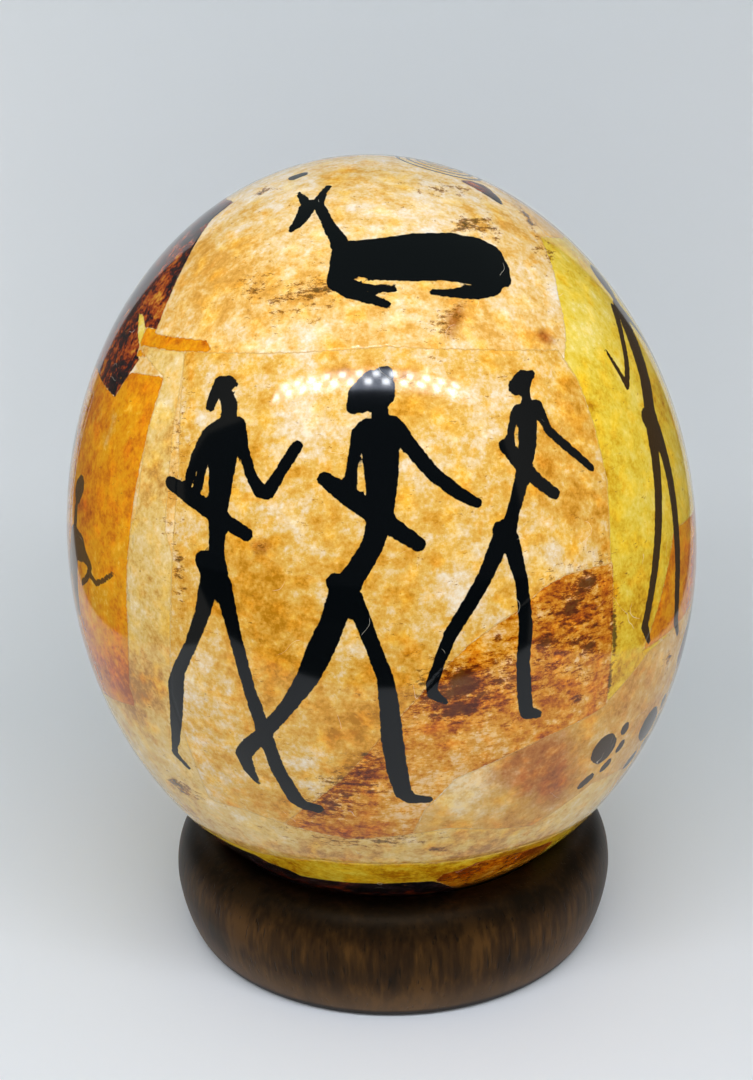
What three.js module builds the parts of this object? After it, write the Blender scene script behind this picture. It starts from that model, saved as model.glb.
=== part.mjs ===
// A decorated ostrich egg standing on a turned wooden ring.
// Millimetres, +Z up, front towards -Y. The origin is on the table, under the middle of the object's breadth.
// Two separate pieces: the egg, which was laid as one piece and stays one solid, and the ring that it rests on.
import * as THREE from "three";

// The egg: a long oval, a little fuller below its middle, and leaning as it lies on the ring.
const EGG_BREADTH = 126;
const EGG_LENGTH = 150.8;
const EGG_FULLNESS_BELOW = 0.022; // share by which the radius grows towards the lower pole
const EGG_LEAN = THREE.MathUtils.degToRad(4.5); // upper pole towards -X

// The ring: a fat roll of wood with a flat foot, turned hollow so that the egg's end can drop in.
const RING_DIAMETER = 93.2; // at its belly, the widest place
const RING_FOOT_DIAMETER = 85; // outside edge of the flat foot
const RING_CREST_DIAMETER = 78.8; // at the top of the roll
const RING_BORE_DIAMETER = 66; // at the narrowest place of the hole
const RING_BORE_MOUTH = 70; // the hole at the foot, where its edge is eased
const RING_HEIGHT = 23.2;
const RING_BELLY_HEIGHT = 12.5;
const FOOT_ROUNDING = 1.5; // exponent of the curve from foot to belly: 1 is a straight bevel, 2 an ellipse
const ROLL_ROUNDING = 2.2; // exponent of the curves over the crest, a shade fuller than an ellipse

const SEAT_GAP = 0.4; // straight up from the ring to the egg, about 0.3 mm square to the surfaces

// Fineness of the facets.
const TURNS = 64; // facets round each piece
const EGG_STEPS = 36; // facets from pole to pole
const ARC_STEPS = 8; // facets along each arc of the ring's section
const SEATING_ROUNDS = 20; // steps in which the egg is shifted until both sides carry it

/** The egg's half outline as Vector2(radius, height from its middle), lower pole first. */
function eggOutline(steps) {
  const outline = Array.from({ length: steps + 1 }, (_, i) => {
    const angle = (Math.PI * i) / steps; // from the lower pole
    const swelling = 1 + EGG_FULLNESS_BELOW * Math.cos(angle);
    return new THREE.Vector2(Math.sin(angle) * swelling, (-EGG_LENGTH / 2) * Math.cos(angle));
  });
  const widest = Math.max(...outline.map((point) => point.x));
  outline.forEach((point) => (point.x *= EGG_BREADTH / 2 / widest));
  outline[0].x = 0;
  outline[steps].x = 0;
  return outline;
}

/** A quarter of a superellipse from start to end, leaving start upright and reaching end level. */
function quarterArc(start, end, exponent, steps) {
  return Array.from({ length: steps + 1 }, (_, i) => {
    const angle = ((Math.PI / 2) * i) / steps;
    const across = 1 - Math.cos(angle) ** (2 / exponent);
    const up = Math.sin(angle) ** (2 / exponent);
    return new THREE.Vector2(start.x + (end.x - start.x) * across, start.y + (end.y - start.y) * up);
  });
}

/** The ring's closed section as Vector2(radius, height): foot, outside, crest, inside and back to the foot. */
function ringSection() {
  const footOutside = new THREE.Vector2(RING_FOOT_DIAMETER / 2, 0);
  const footInside = new THREE.Vector2(RING_BORE_MOUTH / 2, 0);
  const belly = new THREE.Vector2(RING_DIAMETER / 2, RING_BELLY_HEIGHT);
  const crest = new THREE.Vector2(RING_CREST_DIAMETER / 2, RING_HEIGHT);
  const bore = new THREE.Vector2(RING_BORE_DIAMETER / 2, RING_BELLY_HEIGHT);
  return [
    ...quarterArc(belly, footOutside, FOOT_ROUNDING, ARC_STEPS).reverse(),
    ...quarterArc(belly, crest, ROLL_ROUNDING, ARC_STEPS).slice(1),
    ...quarterArc(bore, crest, ROLL_ROUNDING, ARC_STEPS).reverse().slice(1),
    ...quarterArc(bore, footInside, FOOT_ROUNDING, ARC_STEPS).slice(1),
    footOutside.clone(),
  ];
}

/** A closed body turned about Z from a profile whose points run up its outside. */
function turned(profile) {
  return new THREE.LatheGeometry(profile, TURNS).rotateX(Math.PI / 2);
}

/** Height of the egg's underside at x, in the plane of its lean, from its outline turned by the lean. */
function undersideAt(x, outline) {
  const lean = new THREE.Vector2();
  const below = [...outline, ...outline.map((point) => new THREE.Vector2(-point.x, point.y))]
    .map((point) => lean.copy(point).rotateAround(new THREE.Vector2(), EGG_LEAN).clone())
    .filter((point) => point.y < 0)
    .sort((a, b) => a.x - b.x);
  const next = below.findIndex((point) => point.x >= x);
  const [left, right] = [below[next - 1], below[next]];
  return THREE.MathUtils.mapLinear(x, left.x, right.x, left.y, right.y);
}

/** Where the egg's middle comes to lie over the ring when both sides of the ring carry it. */
function seatedMiddle(outline, section) {
  const shoulder = section.filter((point) => point.y > RING_BELLY_HEIGHT && point.x <= RING_CREST_DIAMETER / 2);
  const lift = (side, shift) =>
    Math.max(...shoulder.map((point) => point.y - undersideAt(side * point.x - shift, outline)));
  let shift = 0;
  for (let round = 0; round < SEATING_ROUNDS; round++) {
    shift += (lift(-1, shift) - lift(1, shift)) / 2;
  }
  return new THREE.Vector3(shift, 0, Math.max(lift(-1, shift), lift(1, shift)) + SEAT_GAP);
}

function makeEgg() {
  const lacqueredPaper = new THREE.MeshStandardMaterial({ color: 0xe2ab55, roughness: 0.12, metalness: 0 });
  const egg = new THREE.Mesh(turned(eggOutline(EGG_STEPS)), lacqueredPaper);
  egg.name = "ostrich_egg";
  egg.rotation.y = -EGG_LEAN;
  egg.position.copy(seatedMiddle(eggOutline(EGG_STEPS * 8), ringSection()));
  return egg;
}

function makeRing() {
  const oiledHardwood = new THREE.MeshStandardMaterial({ color: 0x4b3527, roughness: 0.5, metalness: 0 });
  const ring = new THREE.Mesh(turned(ringSection()), oiledHardwood);
  ring.name = "ring_stand";
  return ring;
}

/** Stands the whole on z = 0 with the middle of its breadth over the origin. */
function centredOverOrigin(object) {
  const middle = new THREE.Box3().setFromObject(object, true).getCenter(new THREE.Vector3());
  object.position.set(-middle.x, -middle.y, 0);
  return object;
}

const part = new THREE.Group();
part.add(makeEgg(), makeRing());

export default centredOverOrigin(part);
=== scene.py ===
# %% [markdown]
# # A lacquered ostrich egg on a turned wooden ring
# An emptied ostrich egg is pasted all over with torn and cut scraps of printed paper, which show weathered
# rock and dark painted figures, and is then lacquered until it shines like glass. It stands in a hollow ring
# of dark wood. The solids of both pieces come from a CAD model, with its own frame: metres, +Z up, front
# towards -Y. This lesson gives each one a fine skin of its own, in the same place, because facets show on a
# shiny egg.

import math
from functools import partial

import bpy
import numpy as np
from mathutils import Matrix, Vector


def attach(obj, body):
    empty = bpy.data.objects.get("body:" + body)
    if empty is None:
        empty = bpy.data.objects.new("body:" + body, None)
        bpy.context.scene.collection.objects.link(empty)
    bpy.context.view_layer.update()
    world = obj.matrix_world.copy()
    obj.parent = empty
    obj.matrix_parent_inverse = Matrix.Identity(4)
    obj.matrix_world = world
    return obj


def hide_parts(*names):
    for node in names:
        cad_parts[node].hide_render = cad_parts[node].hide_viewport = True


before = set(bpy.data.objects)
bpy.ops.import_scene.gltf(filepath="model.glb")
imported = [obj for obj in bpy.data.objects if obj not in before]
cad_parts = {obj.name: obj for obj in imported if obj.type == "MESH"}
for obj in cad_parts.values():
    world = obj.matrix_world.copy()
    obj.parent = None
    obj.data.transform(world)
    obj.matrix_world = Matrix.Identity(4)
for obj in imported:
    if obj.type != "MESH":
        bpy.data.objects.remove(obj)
scene = bpy.context.scene
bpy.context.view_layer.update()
MM = 0.001

# %% [markdown]
# ## Small helpers
# Colours are written as a painter would note them, in sRGB hex. Light adds up in linear numbers, so one
# function turns each hex value to linear. Another adds a shader node with its settings and links: an input is
# a plain value, a node that feeds it, or one of that node's outputs.

# %% Helpers for colours, nodes and meshes
def linear(hex_colour):
    """An sRGB hex colour as linear red, green, blue and alpha."""
    shares = [int(hex_colour[i : i + 2], 16) / 255 for i in (1, 3, 5)]
    return [s / 12.92 if s <= 0.04045 else ((s + 0.055) / 1.055) ** 2.4 for s in shares] + [1]


def node(tree, kind, inputs=None, **settings):
    """Adds a node of that kind, sets its properties, and gives each named input its value or its link.

    A node given as a value feeds the input with its first output that is in use.
    """
    made = tree.nodes.new("ShaderNode" + kind)
    for name, value in settings.items():
        setattr(made, name, value)
    for name, value in (inputs or {}).items():
        if isinstance(value, bpy.types.Node):
            value = next(output for output in value.outputs if output.enabled)
        if isinstance(value, bpy.types.NodeSocket):
            tree.links.new(value, made.inputs[name])
        else:
            made.inputs[name].default_value = value
    return made


def new_material(name):
    """An empty material, and the function that adds a node to it."""
    material = bpy.data.materials.new(name)
    material.use_nodes = True
    material.node_tree.nodes.clear()
    return material, partial(node, material.node_tree)


def set_ramp(ramp, stops):
    """Gives a colour ramp its stops, a list of (place from 0 to 1, hex colour)."""
    while len(ramp.elements) < len(stops):
        ramp.elements.new(0.5)
    for element, (place, colour) in zip(ramp.elements, stops):
        element.position = place
        element.color = linear(colour)


def new_piece(name, points_mm, quads, material):
    """A smooth mesh object at the origin from an array of points in millimetres and an array of quads."""
    mesh = bpy.data.meshes.new(name)
    mesh.from_pydata((points_mm * MM).tolist(), [], quads.tolist())
    mesh.shade_smooth()
    mesh.materials.append(material)
    piece = bpy.data.objects.new(name, mesh)
    scene.collection.objects.link(piece)
    print(f"{name}: {len(points_mm)} points, {2 * len(quads)} triangles")
    return piece


# %% [markdown]
# ## The egg's shape
# A bird's egg is a long oval, a little fuller at one end. Its outline here is a sine for the radius and a
# cosine for the height, with a small swelling towards the lower pole. The paper is laid along the shell, so
# distances on the egg are counted along its surface: `up` is the way in millimetres from the widest circle
# towards the upper pole.

# %% Outline of the egg
EGG_BREADTH = 126
EGG_LENGTH = 150.8
FULLNESS_BELOW = 0.022
EGG_LEAN = math.radians(4.5)
EGG_MIDDLE = np.array([-0.12, 0, 84.629])
SKIN_SCALE = 0.9985  # keeps the smooth skin just inside the faceted solid's box

angle = np.linspace(0, np.pi, 2001)  # from the upper pole
outline_radius = np.sin(angle) * (1 - FULLNESS_BELOW * np.cos(angle))
outline_radius *= EGG_BREADTH / 2 / outline_radius.max()
outline_height = EGG_LENGTH / 2 * np.cos(angle)
steps = np.hypot(np.diff(outline_radius), np.diff(outline_height))
way_down = np.concatenate([[0], np.cumsum(steps)])
way_to_middle = np.interp(np.pi / 2, angle, way_down)
print("from pole to pole along the shell:", round(way_down[-1], 1), "mm")


# %% [markdown]
# ## An even net over the egg
# A net of meridians bunches up at the poles. A cube's net swelled to a ball doesn't: its cells stay nearly
# even, and six sides of a cube close without a seam. Each point of the ball is then laid on the egg at the
# same share of the way from pole to pole. The cells are about 0.8 mm wide, small enough to carry the painted
# figures.

# %% The net of the egg
ACROSS, UPRIGHT = 126, 132  # cells along the cube's level and upright edges


def cube_net(across, upright):
    """Lattice points on a box's six sides, each once, and the quads between them, facing outwards."""
    sizes = np.array([across, across, upright])
    quads = []
    for axis in range(3):
        first, second = [(1, 2), (2, 0), (0, 1)][axis]
        a, b = np.meshgrid(np.arange(sizes[first]), np.arange(sizes[second]), indexing="ij")
        for side in (0, 1):
            ring = [(0, 0), (1, 0), (1, 1), (0, 1)] if side else [(0, 0), (0, 1), (1, 1), (1, 0)]
            quad = np.zeros(a.shape + (4, 3), int)
            quad[..., axis] = side * sizes[axis]
            for corner, (da, db) in enumerate(ring):
                quad[..., corner, first] = a + da
                quad[..., corner, second] = b + db
            quads.append(quad.reshape(-1, 3))
    lattice, inverse = np.unique(np.concatenate(quads), axis=0, return_inverse=True)
    return lattice / sizes * 2 - 1, inverse.reshape(-1, 4)


lattice, egg_quads = cube_net(ACROSS, UPRIGHT)
ball = np.tan(lattice * np.pi / 4)
ball /= np.linalg.norm(ball, axis=1)[:, None]
egg_way = np.arccos(np.clip(ball[:, 2], -1, 1)) / np.pi * way_down[-1]
egg_angle = np.interp(egg_way, way_down, angle)
egg_radius = np.interp(egg_angle, angle, outline_radius)
around = np.arctan2(ball[:, 0], -ball[:, 1])  # 0 at the front, growing towards +X
up = way_to_middle - egg_way

lean_cos, lean_sin = math.cos(EGG_LEAN), math.sin(EGG_LEAN)
lean = np.array([[lean_cos, 0, -lean_sin], [0, 1, 0], [lean_sin, 0, lean_cos]])
egg_height = np.interp(egg_angle, angle, outline_height)
egg_points = np.stack([egg_radius * np.sin(around), -egg_radius * np.cos(around), egg_height], axis=1)
egg_points = SKIN_SCALE * egg_points @ lean.T + EGG_MIDDLE
print("egg net:", len(egg_points), "points")

# %% [markdown]
# ## A flat sheet for drawing on
# Figures are drawn flat, in millimetres, on a sheet that touches the egg along one meridian: `across` is the
# way round the egg from that meridian, and `up` the way along it. Near the meridian nothing is stretched. A
# figure is a handful of strokes, each a run of points with its own thickness, as a brush makes them. What the
# mesh keeps is each point's distance to the nearest stroke, below zero inside it. The shader cuts that at
# zero, so an edge stays crisp between the points of the net.

# %% Distances on the sheet
FAR = 99.0  # mm, farther than anything that is drawn


def sheet(meridian):
    """Across and up, in mm, of every point of the egg on the sheet that touches it along that meridian."""
    turn = (around - math.radians(meridian) + np.pi) % (2 * np.pi) - np.pi
    return egg_radius * turn, up


def stroke_distance(x, y, stroke):
    """Distance to a stroke: for each leg it is |p - the leg's nearest point| less the half width there."""
    nearest = np.full(len(x), FAR)
    for (ax, ay, ar), (bx, by, br) in zip(stroke, stroke[1:]):
        dx, dy = bx - ax, by - ay
        share = np.clip(((x - ax) * dx + (y - ay) * dy) / (dx * dx + dy * dy), 0, 1)
        gap = np.hypot(x - ax - share * dx, y - ay - share * dy) - (ar + share * (br - ar))
        nearest = np.minimum(nearest, gap)
    return nearest


def outline_distance(x, y, outline):
    """Distance to a closed outline of straight cuts, below zero inside it."""
    nearest = np.full(len(x), np.inf)
    inside = np.zeros(len(x), bool)
    for (ax, ay), (bx, by) in zip(outline, outline[1:] + outline[:1]):
        dx, dy = bx - ax, by - ay
        share = np.clip(((x - ax) * dx + (y - ay) * dy) / (dx * dx + dy * dy), 0, 1)
        nearest = np.minimum(nearest, np.hypot(x - ax - share * dx, y - ay - share * dy))
        if ay != by:
            inside ^= ((ay > y) != (by > y)) & (x < (y - ay) / (by - ay) * dx + ax)
    return np.where(inside, -nearest, nearest)


# %% [markdown]
# ## The painted figures
# Rock painters drew people and animals from the side, as flat dark shapes: a round head, a long body and thin
# legs set wide, and often a quiver slung across the back. Each figure below is drawn with a few brush strokes
# from one joint of the body to the next. A point is (across, up, half width) in millimetres on the sheet of
# its meridian.

# %% Strokes of the figures on the front
RESTING_ANTELOPE = [
    [(0.8, 68.2, 3.9), (5, 67.4, 4.6), (11, 66.9, 5.2), (17, 66, 5.1), (22, 64.2, 4.9), (24.5, 62.9, 4.4)],
    [(24.5, 62.9, 4.4), (26.2, 60.8, 3.4), (28.2, 58.8, 1.3)],
    [(25, 58.6, 2.4), (22, 57.8, 1.6), (17, 58.3, 0.8), (13.6, 59.1, 0.6)],
    [(-1.4, 71, 1.7), (-1.6, 72.4, 1.55), (-2.65, 75, 1.3), (-3.6, 78, 1.05), (-4.4, 81, 1.1)],
    [(-5, 82.4, 1.4), (-6.6, 82.7, 1.6), (-7.9, 78.9, 1.3), (-9, 77, 0.95), (-10, 75.9, 0.6)],
    [(-7.4, 84.2, 1), (-7.9, 85.6, 0.75), (-8.7, 86.9, 0.55)],
    [(-4.7, 83.6, 1.1), (-3.9, 86.2, 0.75), (-2.8, 88.6, 0.55)],
    [(-0.4, 68.6, 2.8), (-1.2, 65.5, 2.5), (-2, 63.4, 2.2), (-0.6, 61.4, 1.5), (2.6, 59.5, 1.05),
     (5.6, 57.9, 0.75)],
    [(-0.4, 62.4, 1.5), (1.6, 61.8, 0.8), (4, 61.2, 0.7), (7, 60.7, 0.65)],
]
WALKER_WITH_CLUB = [
    [(-21.7, 45.4, 0.9), (-22.5, 45.6, 1.2), (-24.2, 45.3, 1.4), (-25.7, 43.2, 1), (-26.6, 41.3, 0.9)],
    [(-23.3, 43.9, 1.2), (-22.8, 42.2, 1.6), (-22.9, 40.4, 1.5), (-23, 38.6, 1.8)],
    [(-24.6, 38, 1.4), (-27.4, 36.2, 1.4), (-29.8, 33, 1.1), (-31.8, 29, 0.9)],
    [(-22.2, 38.4, 1.6), (-21.2, 38.3, 1.4)],
    [(-23.9, 36.5, 3), (-25.2, 30, 2.4), (-26.6, 23, 1.7), (-27.4, 17, 1.5), (-27.4, 13.2, 1.9)],
    [(-26.8, 35.4, 1.2), (-28.8, 31.4, 0.9), (-30.1, 27.4, 0.9)],
    [(-36, 28, 1.2), (-33, 26.8, 1.6), (-27.5, 23.6, 1.5), (-21.4, 20.2, 1.2)],
    [(-21, 37.8, 1.2), (-20.6, 34, 1), (-19.7, 30, 1), (-18.4, 27.4, 1.2), (-17, 27, 1.2), (-14.4, 30.4, 1)],
    [(-14.4, 30.4, 1), (-11.2, 34.6, 1)], [(-30.1, 15.4, 1.8), (-28.6, 13, 2.4)],
    [(-29.2, 12.4, 2), (-31.5, 6.5, 1.5), (-35, 0.2, 1.2), (-38.6, -5, 1.4), (-40, -8.4, 1.9),
     (-41, -13.5, 1.6)],
    [(-41, -13.5, 1.6), (-43, -20.5, 1.1)], [(-43, -20.5, 0.9), (-44.2, -24, 0.8), (-41.2, -27, 0.45)],
    [(-26.9, 11.8, 1.8), (-25.7, 3.5, 1.3), (-24.4, -6, 1.2), (-22.8, -14, 1.4), (-21.2, -23, 1.4),
     (-18.8, -30, 1.5)],
    [(-18.8, -30, 1.5), (-17.4, -31.6, 1.2), (-14.9, -32.4, 1.1)],
]
WALKER_IN_THE_MIDDLE = [
    [(-1.5, 40.3, 1.1), (-0.2, 42.4, 1.9), (2.2, 44.2, 2.2), (4.2, 45.5, 1.4)],
    [(-1.4, 40.2, 1), (1.6, 41.3, 1.9), (4, 42.6, 1.7), (4.6, 44.9, 1)], [(4.3, 43.6, 1.4), (4.5, 41.5, 1.1)],
    [(2.8, 41, 1.4), (2.9, 37.6, 1.4)], [(0.7, 36.4, 2), (4.3, 36.4, 2.1)],
    [(2.4, 35, 3.3), (2.2, 29, 2.8), (1.6, 23, 2.1), (-0.3, 17.6, 1.8), (-3.2, 13.6, 1.9), (-5.4, 11, 2.2)],
    [(-0.9, 36.2, 1.1), (-2.3, 31.2, 0.9), (-3, 27.8, 1.1)],
    [(-7.2, 29, 1.2), (-4.2, 26.6, 1.7), (1.5, 21.8, 1.7), (7.2, 16.9, 1.2)],
    [(5, 36.4, 1.6), (7.2, 33, 1.3), (10.6, 28, 1.2), (14.4, 24.4, 1.1), (17.6, 22.1, 0.8)],
    [(-6.9, 11.9, 1.7), (-5.4, 10.4, 2.1)],
    [(-6.2, 9.8, 2.2), (-8.2, 5, 2.1), (-11, 0, 2.3), (-13.4, -4.4, 1.9), (-17.2, -9.4, 1.4),
     (-22, -14.8, 1.3)],
    [(-22, -14.8, 1.3), (-25.8, -18.4, 1.6), (-27.5, -20.4, 1.6), (-26.9, -23.8, 1.2), (-25.5, -27, 0.45)],
    [(-4.4, 9.2, 1.7), (-2.9, 4.6, 1.4), (-1.7, 0, 1.3), (-0.4, -5, 1.4), (-0.2, -10, 1.7), (-0.3, -17, 1.9)],
    [(-0.3, -17, 1.9), (0, -24, 1.8), (0.6, -29, 1.5), (1.8, -30.7, 1.2), (4.9, -31.4, 0.8)],
]
WALKER_IN_FRONT = [
    [(26.9, 39.9, 1.6), (28.4, 40.6, 1.8), (30.2, 41.2, 0.8)], [(28.6, 39.4, 1), (28.5, 37, 0.9)],
    [(26.6, 35.8, 1.1), (30.2, 35.9, 1.1)],
    [(28.4, 34.8, 1.9), (27.8, 30, 1.8), (26, 24.6, 1.4), (23.8, 19.6, 1.2), (22.3, 16, 1.6)],
    [(26, 35.4, 0.9), (24.7, 32.4, 0.7), (24.6, 29.6, 0.9)],
    [(30.6, 35.8, 1), (32.2, 31.4, 0.8), (35.4, 28.2, 0.8), (38.6, 25.2, 0.7), (40.8, 23.1, 0.6)],
    [(23.2, 30.7, 1), (26.2, 26.8, 1.3), (29, 23.6, 1.1), (32.1, 20.8, 1)],
    [(21, 17.3, 1.3), (21.6, 15.6, 1.6)],
    [(20.8, 15, 1.7), (18, 10.2, 1.4), (14.4, 5.4, 1.3), (11.2, 1.4, 1.2), (9, -3, 1), (7.2, -7.2, 1.1)],
    [(7.2, -7.2, 1), (7.2, -9, 1), (9.4, -11, 0.5)],
    [(22.9, 14.8, 1.6), (24.2, 8, 1.2), (24.4, 0, 1.3), (23.4, -6.4, 1.3), (23.3, -13, 1.4),
     (23.5, -16.2, 1.3)],
    [(23.5, -16.2, 1.3), (25.7, -17.3, 0.8)],
]
TALL_FIGURE = [
    [(14.6, 52.6, 3.2), (14.2, 51.2, 2.8)], [(13.4, 48.6, 1.2), (12.6, 46.2, 2)],
    [(11.4, 45.6, 2.6), (8.6, 40, 2.8), (4.8, 33, 2.3), (1.2, 28, 2.2)],
    [(8.6, 46.9, 1.2), (4.2, 42.4, 0.9), (0, 37.4, 0.8), (-3.8, 33.9, 0.7), (-4.2, 37.4, 0.6),
     (-4.9, 41.2, 0.45)],
    [(13.6, 45, 1.3), (17.6, 39.6, 1), (20.6, 35, 0.8), (20.2, 29, 0.6)], [(-1.4, 27.2, 1.8), (1.6, 26.6, 2)],
    [(-1.2, 24.6, 1.9), (-4.2, 16, 1.5), (-8.2, 6, 1.3), (-12, -3, 1.1), (-14, -8.2, 1.1),
     (-12.2, -11.9, 0.6)],
    [(1.6, 24.4, 1.8), (1.2, 14, 1.6), (0, 4, 1.4), (-1.1, -6, 1.3), (-0.9, -12, 1.1), (1, -15.4, 0.6)],
]
SEATED_FIGURE = [
    [(-5.8, 21.9, 2.4), (-4.6, 23.1, 2.1)], [(-6.4, 18.6, 1.1), (-6.6, 15.8, 1.2)],
    [(-7.2, 11.9, 3.2), (-3, 11.8, 2.8)], [(-8, 10, 3.2), (-9, 4, 2.6), (-9, -2, 1.3)],
    [(-1.6, 11.4, 1.7), (2.4, 9.4, 0.8), (0.6, 7, 0.7), (-2.9, 5, 0.6)],
    [(1.6, 8, 0.6), (4.6, 6.8, 0.6), (8, 8.1, 0.55), (11.2, 10, 0.5)],
    [(-11, 8, 1.4), (-15.4, 2.6, 1), (-12.6, -3.6, 0.8)],
]
PAW_PRINT = [
    [(-0.5, 0.5, 3), (0.6, -0.6, 2.9)], [(4.9, 2.6, 1.2), (5.2, 2, 1.1)],
    [(5.7, -1.6, 1.1), (5.4, -2.2, 1.1)], [(3.2, -5, 1.2), (2.6, -5.5, 1.1)],
    [(-1, -6.6, 1.3), (-2.3, -7.4, 1.1)],
]
SMALL_MARK = [[(-10.4, 93, 1), (-7.6, 95, 0.8)]]

# %% [markdown]
# The side that is turned away is covered in the same way, with more figures of the same kind: standing
# antelopes, archers, runners, open hands and dotted lines.

# %% Strokes of the figures on the other sides
STANDING_ANTELOPE = [
    [(-12, 8, 4.6), (-5, 7.4, 5.2), (3, 7.6, 5), (10, 8.2, 4.8)],
    [(-12.6, 10, 3.4), (-17, 15.4, 2.2), (-20, 20.2, 1.9)],
    [(-20.4, 21, 2.1), (-23.4, 18.4, 1.4), (-25.6, 16.2, 0.8)],
    [(-20, 22.4, 0.9), (-17.4, 27.6, 0.7), (-17.2, 31.2, 0.45)],
    [(-21.2, 22.4, 0.9), (-19.9, 27.8, 0.7), (-20.6, 31.4, 0.45)],
    [(-13.6, 5, 2), (-14.6, -2, 1.2), (-14, -9, 0.9), (-15.4, -13.6, 0.8)],
    [(-10.4, 4, 1.9), (-9.6, -3, 1.1), (-10.2, -10, 0.9), (-9.6, -14.2, 0.8)],
    [(9.6, 5, 2.4), (11.6, -2, 1.3), (10.4, -8, 0.9), (11.6, -13.6, 0.8)],
    [(12.6, 6, 2.2), (15.6, -1, 1.2), (15, -8, 0.9), (16.6, -13, 0.8)],
    [(14, 10.6, 1), (16.8, 6.6, 0.7), (17.4, 1.8, 0.6)],
]
ARCHER = [
    [(0, 33, 2.2), (0.8, 34, 2)], [(0.4, 30.4, 1.1), (0.6, 27.6, 1.5)],
    [(0.8, 26.4, 2.2), (0.2, 20, 1.8), (-0.6, 14, 1.6), (-1, 10.4, 2)],
    [(-0.6, 26.8, 1.1), (-6, 24.4, 0.9), (-12, 24.8, 0.7)],
    [(1.6, 26.6, 1.1), (4.6, 22.2, 0.9), (0.6, 24.4, 0.7)],
    [(-9.2, 35.6, 0.6), (-12.6, 30, 0.8), (-13.4, 24.6, 0.8), (-12.2, 19, 0.8), (-8.4, 14, 0.6)],
    [(-18, 25, 0.5), (-6, 24.9, 0.5)],
    [(-1.6, 9.4, 1.9), (-5.6, 3, 1.4), (-9.8, -3.4, 1.1), (-14.6, -9, 0.9), (-17.4, -8.8, 0.6)],
    [(-0.4, 9.2, 1.9), (3.6, 2.8, 1.4), (7, -5, 1.1), (9.2, -12.6, 0.9), (6.6, -14, 0.6)],
]
RUNNER = [
    [(3.4, 20.6, 1.6), (4.2, 21.2, 1.5)], [(3.2, 18.8, 0.9), (2.6, 16.8, 1.3)],
    [(2.4, 16, 1.5), (0.8, 10.6, 1.2), (-0.6, 6.6, 1.4)],
    [(3.2, 16.4, 0.9), (7.2, 12.4, 0.7), (10.2, 15.2, 0.6)],
    [(1.8, 16.4, 0.9), (-3, 14.4, 0.7), (-5.6, 10.2, 0.6)],
    [(-0.2, 6, 1.3), (4.6, 2.2, 1), (5.2, -4.4, 0.8), (7.4, -5.2, 0.6)],
    [(-1, 6, 1.3), (-5.4, 1.2, 0.9), (-10.8, -0.6, 0.7), (-11.8, 1.6, 0.5)],
]
OPEN_HAND = [
    [(0, 0, 3.4), (0.2, 1.8, 3.3)], [(-2.4, 3.4, 1.1), (-4.2, 8.4, 0.9)],
    [(-0.8, 4.4, 1.1), (-1.2, 10.4, 0.9)], [(1.1, 4.3, 1.1), (1.9, 9.9, 0.9)], [(2.7, 3, 1), (4.7, 7.4, 0.9)],
    [(-3, -0.4, 1.1), (-6.8, 2.2, 0.9)],
]
DOTTED_LINE = [
    [(x, rise, 0.9), (x + 0.2, rise, 0.8)] for x in range(-15, 16, 5) for rise in [1.4 * math.sin(x / 5)]
]

BROWN_INK = {60: 0.3, -60: 0.8}  # share of brown in the ink of the figures on the sheets of these meridians
# (figure, meridian of its sheet in degrees, across, up, size, which way it faces)
PLACED_FIGURES = [
    (RESTING_ANTELOPE, 0, 0, 0, 1, 1), (WALKER_WITH_CLUB, 0, 0, 0, 1, 1),
    (WALKER_IN_THE_MIDDLE, 0, 0, 0, 1, 1), (WALKER_IN_FRONT, 0, 0, 0, 1, 1), (SMALL_MARK, 0, 0, 0, 1, 1),
    (TALL_FIGURE, 60, 0, 0, 1, 1), (PAW_PRINT, 60, -20, -31.4, 1, 1), (PAW_PRINT, 60, -3.6, -33.4, 1.15, 1),
    (SEATED_FIGURE, -60, 0, 0, 1, 1), (ARCHER, 105, 2, 2, 1.25, 1), (PAW_PRINT, 92, 2, -36, 1.1, 1),
    (PAW_PRINT, 112, 0, -34, 1, 1), (STANDING_ANTELOPE, 150, 4, 8, 1.1, 1), (RUNNER, 138, 0, 44, 1, 1),
    (RUNNER, 163, 0, 47, 1.05, 1), (RUNNER, 188, 0, 44, 1, 1), (OPEN_HAND, 172, 0, -30, 1.1, 1),
    (OPEN_HAND, 200, 0, -26, 1, -1), (DOTTED_LINE, 150, 0, -44, 1, 1),
    (STANDING_ANTELOPE, 212, 0, 4, 1.25, -1), (RUNNER, 255, 0, 36, 1.3, -1), (ARCHER, 250, 4, -22, 1, -1),
    (OPEN_HAND, 278, 0, 22, 1.1, 1), (PAW_PRINT, 282, 0, -18, 1, -1), (DOTTED_LINE, 225, 0, 38, 1, 1),
]

# %% Distance to the nearest painted stroke
ink = np.full(len(up), FAR)
brown_ink = np.zeros(len(up))
for figure, meridian, move_across, move_up, size, facing in PLACED_FIGURES:
    sheet_x, sheet_y = sheet(meridian)
    for stroke in figure:
        moved = [(facing * size * x + move_across, size * y + move_up, size * r) for x, y, r in stroke]
        distance = stroke_distance(sheet_x, sheet_y, moved)
        brown_ink = np.where(distance < ink, BROWN_INK.get(meridian, 0), brown_ink)
        ink = np.minimum(ink, distance)
print("points under ink:", int((ink < 0).sum()))

# %% [markdown]
# ## The paper scraps
# The scraps come from a few sheets printed with pictures of rock: warm sand, pale stone, strong yellow and
# orange ochre, rust, and almost black with red. They overlap like shingles, so a list in the order of pasting
# is enough: a later scrap hides what it covers. Each sheet's visible area is again kept as a distance, below
# zero inside it.

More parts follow.
